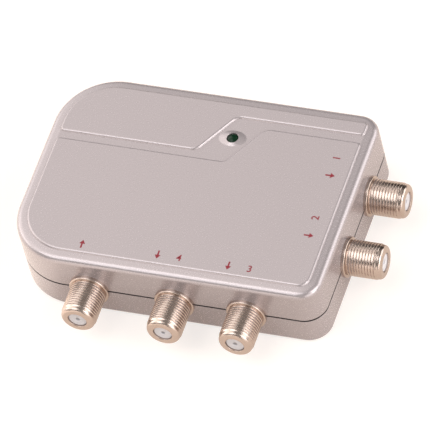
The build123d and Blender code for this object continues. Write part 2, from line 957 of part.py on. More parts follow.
write("upper_shell", upper_shell())
write("lower_shell", lower_shell())
write("case_screws", case_screws())
write("board_screws", board_screws())
write("circuit_board", circuit_board())
for name, place in sockets.items():
    write(f"{name}_socket_body", place * socket_body())
    write(f"{name}_socket_insulator", place * socket_insulator())
    write(f"{name}_socket_contact", place * socket_contact())
write("lamp_lens", lamp_lens())
write("lamp_leads", lamp_leads())
write("power_inlet_housing", inlet_housing())
write("power_inlet_pin", inlet_pin())
write("power_inlet_spring", inlet_spring())
large_can = capacitor(capacitor_places[0], capacitor_1_diameter, capacitor_1_headroom)
small_can = capacitor(capacitor_places[1], capacitor_2_diameter, capacitor_2_headroom)
write("smoothing_capacitor_1", large_can)
write("smoothing_capacitor_2", small_can)
write("capacitor_leads", capacitor_leads())
write("voltage_regulator", voltage_regulator())
write("regulator_legs", regulator_legs())
write("choke_core", choke_core())
write("choke_winding", choke_winding())
write("polarity_diode", polarity_diode())
write("diode_leads", diode_leads())
write("amplifier_chip", amplifier_chip())
write("amplifier_legs", amplifier_legs())
for number, place in enumerate(core_places, 1):
    write(f"splitter_core_{number}", splitter_core(place))
    write(f"splitter_winding_{number}", splitter_winding(place))
write("blocking_capacitors", blocking_capacitors())
write("balancing_resistors", balancing_resistors())
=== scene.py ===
# %% [markdown]
# # Dressing a silver signal splitter
# The real object is a palm-sized moulded box in satin silver paint. One aerial lead screws onto the
# threaded socket at the front left, and four more sockets give the amplified signal out.
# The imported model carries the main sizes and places. This notebook adds what the eye expects of
# it: soft mould edges, rolled threads, paint, plating, a tinted lamp and printed marks.

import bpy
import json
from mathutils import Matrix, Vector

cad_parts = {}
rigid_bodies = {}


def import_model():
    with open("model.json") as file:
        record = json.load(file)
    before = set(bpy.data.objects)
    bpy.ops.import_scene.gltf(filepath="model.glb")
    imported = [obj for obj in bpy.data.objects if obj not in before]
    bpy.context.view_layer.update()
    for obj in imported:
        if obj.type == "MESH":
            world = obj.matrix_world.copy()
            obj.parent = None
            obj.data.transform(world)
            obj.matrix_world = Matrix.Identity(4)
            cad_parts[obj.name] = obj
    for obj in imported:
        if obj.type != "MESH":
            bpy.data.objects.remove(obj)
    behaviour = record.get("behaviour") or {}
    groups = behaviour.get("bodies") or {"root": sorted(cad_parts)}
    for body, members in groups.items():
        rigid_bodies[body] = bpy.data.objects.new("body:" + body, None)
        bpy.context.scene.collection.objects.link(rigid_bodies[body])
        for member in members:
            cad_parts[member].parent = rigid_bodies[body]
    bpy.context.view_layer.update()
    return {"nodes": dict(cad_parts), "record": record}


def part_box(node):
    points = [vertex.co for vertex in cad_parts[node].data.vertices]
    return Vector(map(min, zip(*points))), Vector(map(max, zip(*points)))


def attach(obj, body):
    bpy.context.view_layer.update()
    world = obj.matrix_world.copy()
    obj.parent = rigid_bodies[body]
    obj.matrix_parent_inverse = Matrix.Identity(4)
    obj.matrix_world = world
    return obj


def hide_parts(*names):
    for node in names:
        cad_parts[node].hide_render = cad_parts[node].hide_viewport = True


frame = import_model()

# %% [markdown]
# ## Units and the sizes that the frame gives
# Blender works in metres here, and a maker thinks in millimetres, so one factor turns the second
# into the first. The places of the walls, the height of the roof and the line where the shells part
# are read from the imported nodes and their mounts. Thicknesses and roundings can't be read from a
# box, so they are named here once.

# %% Sizes
import json
import math

import bmesh
import bpy
from mathutils import Matrix, Vector

MM = 0.001

lower_low, lower_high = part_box("lower_shell")
case_left, case_front = lower_low.x, lower_low.y
case_right, case_back = lower_high.x, lower_high.y
panel_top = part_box("upper_shell")[1].z
mounts = {mount["name"]: mount for mount in frame["record"]["mounts"]}
axis_height = mounts["input_socket"]["pos_m"][2]

wall = 2.0 * MM
roof = 2.0 * MM
left_corner_radius = 16.0 * MM
right_corner_radius = 6.0 * MM
top_edge_radius = 1.8 * MM
bottom_edge_radius = 1.0 * MM
parting_edge_radius = 0.05 * MM
parting_gap = 0.5 * MM
lower_top = axis_height - parting_gap / 2
upper_bottom = axis_height + parting_gap / 2
panel_step = 0.5 * MM
rim_top = panel_top - panel_step
ceiling = rim_top - roof
print_film = 0.015 * MM
print("case, mm:", round((case_right - case_left) / MM, 2), round((case_back - case_front) / MM, 2))

# %% [markdown]
# ## The camera
# The photograph is taken from in front, to the right and well above, from far away with a long
# lens, so the box hardly tapers. Its place was found by matching the box's corners and the five
# socket tips. The camera looks along one direction and is then rolled about it, because the
# photographer didn't hold it level.

# %% Camera
camera_place = Vector((0.58352, -1.00652, 1.43041))
camera_look = Vector((-0.315359, 0.547871, -0.774846))
camera_roll = math.radians(-15.447)
camera_lens = 588.9

camera_data = bpy.data.cameras.new("camera")
camera_data.lens = camera_lens
camera_data.sensor_width = 36.0
camera_data.clip_start = 0.05
camera_data.clip_end = 20.0
camera = bpy.data.objects.new("camera", camera_data)
bpy.context.scene.collection.objects.link(camera)
aim = camera_look.to_track_quat("-Z", "Y").to_matrix().to_4x4()
camera.matrix_world = Matrix.Translation(camera_place) @ aim @ Matrix.Rotation(camera_roll, 4, "Z")
bpy.context.scene.camera = camera
print("camera right:", camera.matrix_world.to_3x3().col[0])

# %% [markdown]
# ## Mesh helpers
# Most pieces here are closed solids drawn through a stack of rings: a moulding is a stack of plan
# outlines, each a little further in, and a turned part is a stack of circles. Equal counts of
# points in every ring keep the faces between them square, which makes clean highlights.

# %% Outlines with rounded corners
CORNER_STEPS = 20
SMALLEST_RADIUS = 0.02 * MM


def corner_frame(corners, number):
    """The corner's point, and the directions of the edges into it and out of it."""
    before = Vector(corners[number - 1][:2])
    here = Vector(corners[number][:2])
    after = Vector(corners[(number + 1) % len(corners)][:2])
    return here, (here - before).normalized(), (after - here).normalized()


def left_of(direction):
    return Vector((-direction.y, direction.x))


def moved_in(corners, inset):
    """Anticlockwise (x, y, radius) corners moved in by inset, with the arcs kept concentric."""
    moved = []
    for number, (x, y, radius) in enumerate(corners):
        here, along, onward = corner_frame(corners, number)
        normals = left_of(along) + left_of(onward)
        spot = here + normals * inset / (1 + along.dot(onward))
        side = math.copysign(1, along.cross(onward))
        moved.append((spot.x, spot.y, max(radius - side * inset, SMALLEST_RADIUS)))
    return moved


def outline_ring(corners, inset, height, steps=CORNER_STEPS):
    """Points round the outline at a height, each corner drawn as an arc."""
    ring = []
    corners = moved_in(corners, inset)
    for number, (x, y, radius) in enumerate(corners):
        here, along, onward = corner_frame(corners, number)
        turn = math.atan2(along.cross(onward), along.dot(onward))
        start = here - along * radius * abs(math.tan(turn / 2))
        centre = start + left_of(along) * math.copysign(radius, turn)
        for step in range(steps + 1):
            spot = centre + Matrix.Rotation(turn * step / steps, 2) @ (start - centre)
            ring.append(Vector((spot.x, spot.y, height)))
    return ring


def quarter(radius, steps=8):
    """(inset, rise) pairs along a quarter circle, from upright to level."""
    angles = [math.pi / 2 * step / steps for step in range(steps + 1)]
    return [(radius * (1 - math.cos(a)), radius * math.sin(a)) for a in angles]


# %% Solids through rings
def new_piece(name, bm):
    mesh = bpy.data.meshes.new(name)
    bm.to_mesh(mesh)
    bm.free()
    piece = bpy.data.objects.new(name, mesh)
    bpy.context.scene.collection.objects.link(piece)
    return piece


def loft(name, rings):
    """Closed solid through rings of equally many points, with a flat cap at each end."""
    bm = bmesh.new()
    loops = [[bm.verts.new(point) for point in ring] for ring in rings]
    count = len(rings[0])
    for low, high in zip(loops, loops[1:]):
        for i in range(count):
            j = (i + 1) % count
            bm.faces.new((low[i], low[j], high[j], high[i]))
    bm.faces.new(loops[0][::-1])
    bm.faces.new(loops[-1])
    bmesh.ops.recalc_face_normals(bm, faces=bm.faces)
    return new_piece(name, bm)


def circle_ring(centre, axis, radius, place, steps):
    """Circle of points about an axis through centre, at a place along it."""
    axis = Vector(axis)
    across = Vector((0, 0, 1)) if abs(axis.z) < 0.5 else Vector((1, 0, 0))
    sideways = axis.cross(across)
    ring = []
    for step in range(steps):
        a = 2 * math.pi * step / steps
        spoke = across * math.cos(a) + sideways * math.sin(a)
        ring.append(Vector(centre) + axis * place + spoke * radius)
    return ring


def lathe(name, centre, axis, profile, steps=96):
    """Closed turned solid through (place, radius) pairs along an axis."""
    return loft(name, [circle_ring(centre, axis, radius, place, steps) for place, radius in profile])


def brick(name, low, high):
    """Plain block between two corners, used only to cut with or to leave uncut."""
    x, y = (low[0], high[0]), (low[1], high[1])
    ring = [(x[0], y[0]), (x[1], y[0]), (x[1], y[1]), (x[0], y[1])]
    return loft(name, [[Vector((*spot, z)) for spot in ring] for z in (low[2], high[2])])


# %% [markdown]
# ## Carving and smoothing
# A moulding is easiest to make full and then hollow out. Boolean modifiers do that, with the exact
# solver because many faces here lie in one plane. The result is made a plain mesh at once, so no
# modifier is left. Weighted normals then keep the flat faces flat beside their small roundings.

# %% Carving and smoothing
def evaluated_mesh(piece):
    depsgraph = bpy.context.evaluated_depsgraph_get()
    return bpy.data.meshes.new_from_object(piece.evaluated_get(depsgraph))


def take_mesh(piece, mesh):
    """Gives the piece a plain mesh in place of its old one and its modifiers."""
    old = piece.data
    piece.modifiers.clear()
    piece.data = mesh
    bpy.data.meshes.remove(old)


def carve(piece, tools, operation="DIFFERENCE"):
    """Cuts the tools out of the piece, or joins them to it, and removes them."""
    for tool in tools:
        cut = piece.modifiers.new("cut", "BOOLEAN")
        cut.object = tool
        cut.operation = operation
        cut.solver = "EXACT"
    take_mesh(piece, evaluated_mesh(piece))
    for tool in tools:
        bpy.data.objects.remove(tool, do_unlink=True)


def smooth(piece, sharp_angle=30.0):
    """Smooth shading that keeps flat faces flat and corners over sharp_angle crisp."""
    piece.data.shade_smooth()
    piece.data.set_sharp_from_angle(angle=math.radians(sharp_angle))
    weigh = piece.modifiers.new("weigh", "WEIGHTED_NORMAL")
    weigh.keep_sharp = True
    take_mesh(piece, evaluated_mesh(piece))


def settle(piece, material, slot, *nodes, hidden=None, is_hidden=None):
    """Gives a finished piece its material and its place in the frame. Faces that is_hidden picks
    by their middle and normal get the second material, which on the shells is painted shade."""
    piece.data.materials.clear()
    piece.data.materials.append(material)
    if hidden:
        piece.data.materials.append(hidden)
        for face in piece.data.polygons:
            face.material_index = int(is_hidden(face.center, face.normal))
    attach(piece, "root")
    if nodes:
        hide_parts(*nodes)
    print(piece.name, "faces:", len(piece.data.polygons))


# %% [markdown]
# ## Node helpers
# Materials, the world and the thread are all small graphs of nodes. One helper adds a node, sets
# its properties and fills its inputs, each with a plain value or with another node's output. Two
# more, for arithmetic and for a soft change between two values, are made from it.

# %% Node helpers
def add_node(tree, kind, feeds, **settings):
    """Node with its properties set and its inputs fed, each by its name or number."""
    node = tree.nodes.new(kind)
    for title, setting in settings.items():
        setattr(node, title, setting)
    for title, feed in feeds.items():
        if hasattr(feed, "is_output"):
            tree.links.new(feed, node.inputs[title])
        else:
            node.inputs[title].default_value = feed
    return node


def maths(tree, operation, *feeds):
    """Output of a math node fed with sockets or values."""
    return add_node(tree, "ShaderNodeMath", dict(enumerate(feeds)), operation=operation).outputs[0]


def eased(tree, value, start, end, low=0.0, high=1.0):
    """Output that changes softly from low, where the value is start, to high, where it is end."""
    return add_node(tree, "ShaderNodeMapRange", {
        "Value": value, "From Min": start, "From Max": end, "To Min": low, "To Max": high,
    }, interpolation_type="SMOOTHSTEP").outputs["Result"]


# %% [markdown]
# ## Finishes
# Every finish on this object is a base colour with three small departures: a slow drift in tone, a
# fine grain in tone and gloss, and the same grain as relief. One helper builds that from noise on
# Object coordinates. The scale of the grain is what tells paint from moulded plastic or plating,
# so each finish names its own.

# %% The grained finish
DRIFT_SCALE, DRIFT_DETAIL = 90.0, 3.0
GRAIN_DETAIL = 4.0
RELIEF_STRENGTH = 0.6


def grained(name, colour, metallic, roughness, grain_mm, relief_mm, drift=0.04, spread=0.06):
    """Procedural finish: drift is the change of tone, spread that of roughness."""
    material = bpy.data.materials.new(name)
    material.use_nodes = True
    tree = material.node_tree
    place = tree.nodes.new("ShaderNodeTexCoord").outputs["Object"]
    slow = add_node(tree, "ShaderNodeTexNoise", {
        "Vector": place, "Scale": DRIFT_SCALE, "Detail": DRIFT_DETAIL,
    }).outputs
    fine = add_node(tree, "ShaderNodeTexNoise", {
        "Vector": place, "Scale": 1 / (grain_mm * MM), "Detail": GRAIN_DETAIL,
    }).outputs
    tone = add_node(tree, "ShaderNodeMix", {
        "Factor": slow["Fac"],
        "A": (*[c * (1 - drift) for c in colour], 1),
        "B": (*[min(c * (1 + drift), 1) for c in colour], 1),
    }, data_type="RGBA").outputs["Result"]
    speck = add_node(tree, "ShaderNodeMix", {
        "Factor": drift, "A": tone, "B": fine["Color"],
    }, data_type="RGBA", blend_type="MULTIPLY").outputs["Result"]
    gloss = add_node(tree, "ShaderNodeMapRange", {
        "Value": fine["Fac"], "To Min": roughness - spread, "To Max": roughness + spread,
    }).outputs["Result"]
    bump = add_node(tree, "ShaderNodeBump", {
        "Height": fine["Fac"], "Strength": RELIEF_STRENGTH, "Distance": relief_mm * MM,
    }).outputs["Normal"]
    shader = tree.nodes["Principled BSDF"]
    shader.inputs["Metallic"].default_value = metallic
    for title, output in (("Base Color", speck), ("Roughness", gloss), ("Normal", bump)):
        tree.links.new(output, shader.inputs[title])
    return material


# %% [markdown]
# ## Paint, plating and plastics
# The case is plastic under satin silver paint: half way between a metal and a pale matt surface,
# with a warm tint. The sockets are turned brass under nickel, which is warmer and wholly metal, so
# it shows nothing but what it mirrors. The lamp's plastic is a very dark green. Its specular level
# is turned down, or the light boxes would wash the green out. The rest are the ordinary stuffs of
# a small circuit: lacquered board, tinned leads, ferrite, copper wire, black moulding.

# %% Finishes by the record's slots
# slot: name, colour, metallic, roughness, grain and relief in mm, drift of tone, spread of gloss
finish_rows = {
    "case_silver": ("satin_silver_paint", (0.484, 0.437, 0.45), 0.5, 0.27, 0.3, 0.0002, 0.008, 0.015),
    "socket_nickel": ("bright_nickel_plate", (0.58, 0.48, 0.425), 1.0, 0.26, 0.25, 0.0002, 0.04, 0.02),
    "insulator_white": ("white_insulator_plastic", (0.80, 0.79, 0.83), 0.0, 0.4, 0.3, 0.002),
    "contact_brass": ("contact_brass", (0.72, 0.56, 0.30), 1.0, 0.25, 0.2, 0.001),
    "screw_steel": ("zinc_plated_steel", (0.60, 0.60, 0.60), 1.0, 0.3, 0.2, 0.002),
    "board_green": ("green_board_lacquer", (0.02, 0.16, 0.06), 0.0, 0.3, 0.4, 0.003, 0.1),
    "lamp_green": ("green_lamp_plastic", (0.004, 0.026, 0.012), 0.0, 0.12, 0.5, 0.0005, 0.2, 0.03),
    "black_plastic": ("black_moulding", (0.025, 0.025, 0.026), 0.0, 0.45, 0.12, 0.004, 0.1),
    "lead_tin": ("tinned_wire", (0.68, 0.68, 0.67), 1.0, 0.3, 0.15, 0.002),
    "capacitor_sleeve": ("capacitor_sleeve", (0.02, 0.03, 0.06), 0.0, 0.25, 0.5, 0.002, 0.1),
    "ferrite": ("grey_ferrite", (0.07, 0.07, 0.075), 0.1, 0.5, 0.1, 0.006, 0.15),
    "winding_copper": ("enamelled_copper", (0.60, 0.22, 0.09), 1.0, 0.28, 0.12, 0.004, 0.1),
    "ceramic_tan": ("tan_ceramic", (0.50, 0.37, 0.24), 0.0, 0.5, 0.15, 0.003, 0.08),
    "resistor_black": ("resistor_glaze", (0.03, 0.03, 0.03), 0.0, 0.3, 0.3, 0.002, 0.1),
}
finishes = {slot: grained(*row) for slot, row in finish_rows.items()}
lamp_specular = 0.2
lamp_shader = finishes["lamp_green"].node_tree.nodes["Principled BSDF"]
lamp_shader.inputs["Specular IOR Level"].default_value = lamp_specular

slot_of_node = {part["node"]: part["material_slot"] for part in frame["record"]["subparts"]}
for node, piece in frame["nodes"].items():
    piece.data.materials.clear()
    piece.data.materials.append(finishes[slot_of_node[node]])
print("finishes:", len(finishes), "on", len(slot_of_node), "nodes")

# %% [markdown]
# ## The case's outlines
# Seen from above the case is a rectangle with two large corners on the left and two small ones on
# the right. Two panels stand half a millimetre above its rim. Between them runs a sunk band that
# turns twice, and the lamp sits in it. Each outline is only a list of corners with their radii.

# %% Outlines
rim_width = 3.25 * MM
band_front_left = 8.1 * MM
band_front_right = 20.4 * MM
band_back_left = 10.7 * MM
band_back_right = 23.1 * MM
main_panel_turn = 6.7 * MM
back_panel_turn = -2.3 * MM
panel_turn_radius = 3.0 * MM
panel_corner_radius = 1.0 * MM
main_panel_front_radius = 3.0 * MM
diagonal_slant = math.radians(58.5)
diagonal_run = 1 / math.tan(diagonal_slant)

case_outline = [
    (case_left, case_front, left_corner_radius),
    (case_right, case_front, right_corner_radius),
    (case_right, case_back, right_corner_radius),
    (case_left, case_back, left_corner_radius),
]
panel_left, panel_right = case_left + rim_width, case_right - rim_width
panel_front, panel_back = case_front + rim_width, case_back - rim_width
main_shoulder = main_panel_turn + (band_front_right - band_front_left) * diagonal_run
back_shoulder = back_panel_turn + (band_back_right - band_back_left) * diagonal_run
main_panel = [
    (panel_left, panel_front, left_corner_radius - rim_width),
    (panel_right, panel_front, main_panel_front_radius),
    (panel_right, band_front_right, panel_corner_radius),
    (main_shoulder, band_front_right, panel_turn_radius),
    (main_panel_turn, band_front_left, panel_turn_radius),
    (panel_left, band_front_left, panel_corner_radius),
]
back_panel = [
    (panel_left, panel_back, left_corner_radius - rim_width),
    (panel_left, band_back_left, panel_corner_radius),
    (back_panel_turn, band_back_left, panel_turn_radius),
    (back_shoulder, band_back_right, panel_turn_radius),
    (panel_right, band_back_right, panel_corner_radius),
    (panel_right, panel_back, panel_corner_radius),
]
print("corners of the case and the panels:", len(case_outline), len(main_panel), len(back_panel))

# %% [markdown]
# ## What both shells share
# The shells are hollow mouldings. Inside stand four screw columns with webs out to the walls, and
# a pair of ribs beside each socket's flange. It is easier to leave them standing than to add them:
# the hollow is one solid, the columns and ribs are cut out of it, and the rest is cut from the
# shell. The socket windows are cut through both walls at once, half in each shell.

# %% Columns, webs, ribs and windows
column_radius = 3.2 * MM
web_thickness = 1.2 * MM
rib_thickness = 1.2 * MM
rib_depth = 3.2 * MM
flange_half = 5.6 * MM
left_inset, right_inset = 9.0 * MM, 6.4 * MM
column_places = [
    (x, y)
    for x, inset in ((case_left + left_inset, left_inset), (case_right - right_inset, right_inset))
    for y in (case_front + inset, case_back - inset)
]
socket_names = ["input", "output_1", "output_2", "output_3", "output_4"]


def socket_turn(name):
    """Matrix from a socket's own frame, +X out of the wall at its face, to the object's."""
    mount = mounts[f"{name}_socket"]
    out = Vector(mount["axis"])
    x, y, z = mount["pos_m"]
    face = Vector((case_right, y, z)) if out.x > 0.5 else Vector((x, case_front, z))
    side = Vector((0, 0, 1)).cross(out)
    turn = Matrix((out, side, Vector((0, 0, 1)))).transposed().to_4x4()
    return Matrix.Translation(face) @ turn


def upright(name, x, y, low, high, radius, steps=40):
    return lathe(name, (x, y, 0), (0, 0, 1), [(low, radius), (high, radius)], steps)


def standing_ribs(low, high, column_low, column_high):
    """Columns, their webs and the flange ribs, between the given heights."""
    half = web_thickness / 2
    kept = []
    for x, y in column_places:
        kept.append(upright("column", x, y, column_low, column_high, column_radius))
        x_end = case_left if x < 0 else case_right
        y_end = case_front if y < 0 else case_back
        kept.append(brick("web", (min(x, x_end), y - half, low), (max(x, x_end), y + half, high)))
        kept.append(brick("web", (x - half, min(y, y_end), low), (x + half, max(y, y_end), high)))
    for name in socket_names:
        for near in (flange_half, -flange_half - rib_thickness):
            rib = brick("rib", (-rib_depth, near, low), (0, near + rib_thickness, high))
            rib.data.transform(Matrix.Translation((0, 0, -axis_height)))
            rib.data.transform(socket_turn(name))
            kept.append(rib)
    return kept


def wall_windows():
    """Round ways for the five socket necks and for the power plug."""
    ways = []
    neck, plug = 5.0 * MM, 3.4 * MM
    for name in socket_names:
        way = lathe("way", (0, 0, 0), (1, 0, 0), [(-1.6 * wall, neck), (wall, neck)], 96)
        way.data.transform(socket_turn(name))
        ways.append(way)
    x, y, z = mounts["power_inlet"]["pos_m"]
    ways.append(lathe("way", (x, case_back, z), (0, 1, 0), [(-1.5 * wall, plug), (wall, plug)], 64))
    return ways


print("columns:", len(column_places), "sockets:", len(socket_names))

# %% [markdown]
# ## The upper shell
# The moulding is a stack of the case outline: a tiny rounding at the parting line, a straight wall,
# and a wide rounding up to the rim. The rim falls a little outward, so it looks lighter than the
# panels in front and on the left, and darker behind and on the right. The rounding carries the
# long white highlight of the photograph, so it has twelve steps. Both panels are joined to it.
# Their edges slope up and round over into the top, and that edge is what catches the light: white
# where it faces the light box on the right, a light and a dark line where it faces the front, and
# dark at the back.

# %% Sizes of the upper shell, and its raised panels
tongue_inset = 1.1 * MM
rebate_inset = 1.0 * MM
tongue_top = lower_high.z
tongue_play = 0.1 * MM
rebate_top = tongue_top + tongue_play
panel_round, panel_steepest = 0.6 * MM, math.radians(60)
panel_foot, panel_spread = 0.03 * MM, 0.2 * MM
panel_steps = 8
rim_fall = 0.12 * MM
lamp_low, lamp_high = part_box("lamp_lens")
lamp_x, lamp_y = (lamp_low.x + lamp_high.x) / 2, (lamp_low.y + lamp_high.y) / 2
lamp_guide_radius, lamp_guide_depth = 2.6 * MM, 2.0 * MM
guide_bottom = ceiling - lamp_guide_depth


def raised_panel(name, corners):
    """Panel on the rim: its edge slopes up from the outline and rounds over into the top."""
    top = panel_top - print_film
    slope_rise = top - rim_top - panel_foot - panel_round * (1 - math.cos(panel_steepest))
    edge = slope_rise / math.tan(panel_steepest) + panel_round * math.sin(panel_steepest)
    steps = [(-panel_foot, rim_top - roof / 2), (-panel_foot, rim_top), (0, rim_top + panel_foot)]
    for step in range(panel_steps + 1):
        a = panel_steepest * (1 - step / panel_steps)
        steps.append((edge - panel_round * math.sin(a), top - panel_round * (1 - math.cos(a))))
    return loft(name, [
        outline_ring(corners, inset - panel_spread, height) for inset, height in steps
    ])


# %% Stack, hollow and windows of the upper shell
upper_rings = [
    outline_ring(case_outline, inset, upper_bottom + parting_edge_radius - rise)
    for inset, rise in reversed(quarter(parting_edge_radius, 3))
]
upper_rings += [
    outline_ring(case_outline, inset, rim_top - rim_fall - top_edge_radius + rise)
    for inset, rise in quarter(top_edge_radius, 12)
]
upper_rings.append(outline_ring(case_outline, rim_width, rim_top))
upper_shell = loft("upper_shell_moulding", upper_rings)
carve(upper_shell, [raised_panel("panel", main_panel), raised_panel("panel", back_panel)], "UNION")

below = upper_bottom - wall
hollow = loft("hollow", [
    outline_ring(case_outline, rebate_inset, below),
    outline_ring(case_outline, rebate_inset, rebate_top),
    outline_ring(case_outline, wall, rebate_top),
    outline_ring(case_outline, wall, ceiling),
])
kept = standing_ribs(rebate_top, panel_top, below, panel_top)
kept.append(upright("lamp_guide", lamp_x, lamp_y, guide_bottom, panel_top, lamp_guide_radius))
carve(hollow, kept)
carve(upper_shell, [hollow] + wall_windows())
print("upper shell:", len(upper_shell.data.polygons), "faces")

# %% [markdown]
# ## The lamp's boss
# The lamp looks out of a low oval swelling in the sunk band. It rises only about a third of a
# millimetre, but its side toward the front and the left faces the light and shines, and its far
# side stays grey. It is one more stack of rings, which run from an ellipse at the foot to a
# circle round the lamp, with the foot and the lip eased as paint leaves them.

# %% Boss
boss_length, boss_width, boss_rise = 7.9 * MM, 5.3 * MM, 0.36 * MM
boss_lip, boss_skirt = 0.06 * MM, 0.001 * MM
boss_steps = 24
lamp_hole = 1.6 * MM


def boss_ring(share, height, steps=96):
    """Ring of the boss: the foot's ellipse at share 0, the edge of the lamp's hole at share 1."""
    ring = []
    for step in range(steps):
        a = 2 * math.pi * step / steps
        foot = Vector((boss_length / 2 * math.cos(a), boss_width / 2 * math.sin(a), 0))
        spot = foot.lerp(foot.normalized() * lamp_hole, share)
        ring.append(Vector((lamp_x + spot.x, lamp_y + spot.y, height)))
    return ring


def boss_height(share):
    """Height along the side: hollow at the foot, straight, then rounded toward the hole."""
    foot_share, lip_share = 0.16, 0.12
    slope = boss_rise / (1 - (foot_share + lip_share) / 2)
    if share < foot_share:
        return rim_top + slope * share ** 2 / (2 * foot_share)
    if share > 1 - lip_share:
        return rim_top + boss_rise - slope * (1 - share) ** 2 / (2 * lip_share)
    return rim_top + slope * (share - foot_share / 2)


boss_shares = [step / boss_steps for step in range(1, boss_steps + 1)]
boss_rings = [boss_ring(0, ceiling + roof / 2), boss_ring(0, rim_top - boss_skirt)]
boss_rings += [boss_ring(share, boss_height(share)) for share in boss_shares]
carve(upper_shell, [loft("boss", boss_rings)], "UNION")
carve(upper_shell, [lathe("lamp_way", (lamp_x, lamp_y, 0), (0, 0, 1), [
    (guide_bottom - wall, lamp_hole),
    (rim_top + boss_rise - boss_lip, lamp_hole),
    (rim_top + boss_rise + boss_lip, lamp_hole + 2 * boss_lip),
], 96)])
print("boss rings:", len(boss_rings))

# %% [markdown]
# ## Silver outside, painted shade in the joint
# The case screws cut their own thread in plain round holes up the columns. The faces of the joint
# and of the hollow get a near-black second material: painted shade that darkens the gap at the
# parting line. Each face is tested by where its middle lies and which way it looks.

# %% Screw holes and finish of the upper shell
pilot_radius, pilot_top = 1.35 * MM, 15.8 * MM
pilots = [upright("pilot", x, y, below, pilot_top, pilot_radius, 32) for x, y in column_places]
carve(upper_shell, pilots)
smooth(upper_shell)

joint_reach = 0.6 * parting_gap
nearly_level = 0.9
# faces further in than this from the outline, in the hollow, get the painted shade
shaded_depth = 0.8 * tongue_inset
hollow_top = ceiling + 0.1 * MM


def depth_in(middle):
    """How far a point lies in from the case outline."""
    radius = left_corner_radius if middle.x < 0 else right_corner_radius
    past_x = abs(middle.x) - (case_right - radius)
    past_y = abs(middle.y) - (case_back - radius)
    corner = math.hypot(max(past_x, 0), max(past_y, 0))
    return radius - corner - min(max(past_x, past_y), 0)


def in_the_joint(middle, normal):
    """True on the faces of the joint and in the hollow, which get the painted shade."""
    level = abs(middle.z - axis_height) < joint_reach and abs(normal.z) > nearly_level
    inside = depth_in(middle) > shaded_depth and wall < middle.z < hollow_top
    return level or inside


# near-black painted shade for the joint and the hollow, which darkens the gap at the parting line
joint_painted_shade = grained("painted_joint_shade", (0.02, 0.017, 0.015), 0.0, 0.5, 0.2, 0.003, 0.08)
settle(upper_shell, finishes["case_silver"], "case_silver", "upper_shell",
       hidden=joint_painted_shade, is_hidden=in_the_joint)

# %% [markdown]
# ## The lower shell
# The lower shell is the same stack upside down, with a tongue round its top that reaches into the
# upper shell. The narrow gap in front of the tongue is the dark line half way up the wall. Three
# posts inside carry the board, and the underside has four round recesses for the case screws. Its
# columns and ribs are left standing by the same helper as above, and the same test gives it the
# silver and the near-black painted shade in its joint and hollow.

# %% Stack of the lower shell
lower_rings = [
    outline_ring(case_outline, inset, bottom_edge_radius - rise)
    for inset, rise in reversed(quarter(bottom_edge_radius, 8))
]
lower_rings += [
    outline_ring(case_outline, inset, lower_top - parting_edge_radius + rise)
    for inset, rise in quarter(parting_edge_radius, 3)
]
lower_rings.append(outline_ring(case_outline, tongue_inset, lower_top))
lower_rings.append(outline_ring(case_outline, tongue_inset, tongue_top))
lower_shell = loft("lower_shell_moulding", lower_rings)
print("rings of the lower shell:", len(lower_rings))

# %% Hollow, posts and recesses of the lower shell
standoff_radius, standoff_top, pilot_floor = 2.5 * MM, 4.6 * MM, 1.7 * MM
standoff_places = [(-36.6 * MM, 3.0 * MM), (27.0 * MM, 22.95 * MM), (31.0 * MM, -17.35 * MM)]
hollow = loft("hollow", [
    outline_ring(case_outline, wall, height) for height in (wall, tongue_top + wall)
])
posts = [upright("post", x, y, 0, standoff_top, standoff_radius) for x, y in standoff_places]
carve(hollow, standing_ribs(0, axis_height, 0, axis_height) + posts)
pilots = [
    upright("pilot", x, y, pilot_floor, axis_height, pilot_radius) for x, y in standoff_places
]
carve(lower_shell, [hollow] + wall_windows() + pilots)

recess_radius, recess_depth, screw_way = 2.85 * MM, 1.8 * MM, 1.5 * MM
ways = [
    lathe("way", (x, y, 0), (0, 0, 1), [
        (-wall, recess_radius),
        (recess_depth, recess_radius),
        (recess_depth, screw_way),
        (axis_height + wall, screw_way),
    ], 48)
    for x, y in column_places
]
carve(lower_shell, ways)
smooth(lower_shell)
# the joint and the hollow of this shell get the same near-black painted shade
settle(lower_shell, finishes["case_silver"], "case_silver", "lower_shell",
       hidden=joint_painted_shade, is_hidden=in_the_joint)

# %% [markdown]
# ## The threaded barrel
# Each socket carries a fine screw thread, 32 turns to the inch. A thread is a rule, not a shape to
# draw: the radius falls and rises once for every turn and every pitch along the axis. So a flat
# grid is rolled into a tube in Geometry Nodes, and a triangle wave of place and angle sets its
# radius. The wave is clipped, so that wide crests stand between narrow grooves, as on a rolled
# thread, and it dies away at both ends of the barrel.

# %% Geometry Nodes tree for the thread
AROUND = 128
WELD = 0.001 * MM
# the groove's share of the pitch, and the turns over which the thread dies away at an end
GROOVE_SHARE, FADE_TURNS = 0.4, 0.7


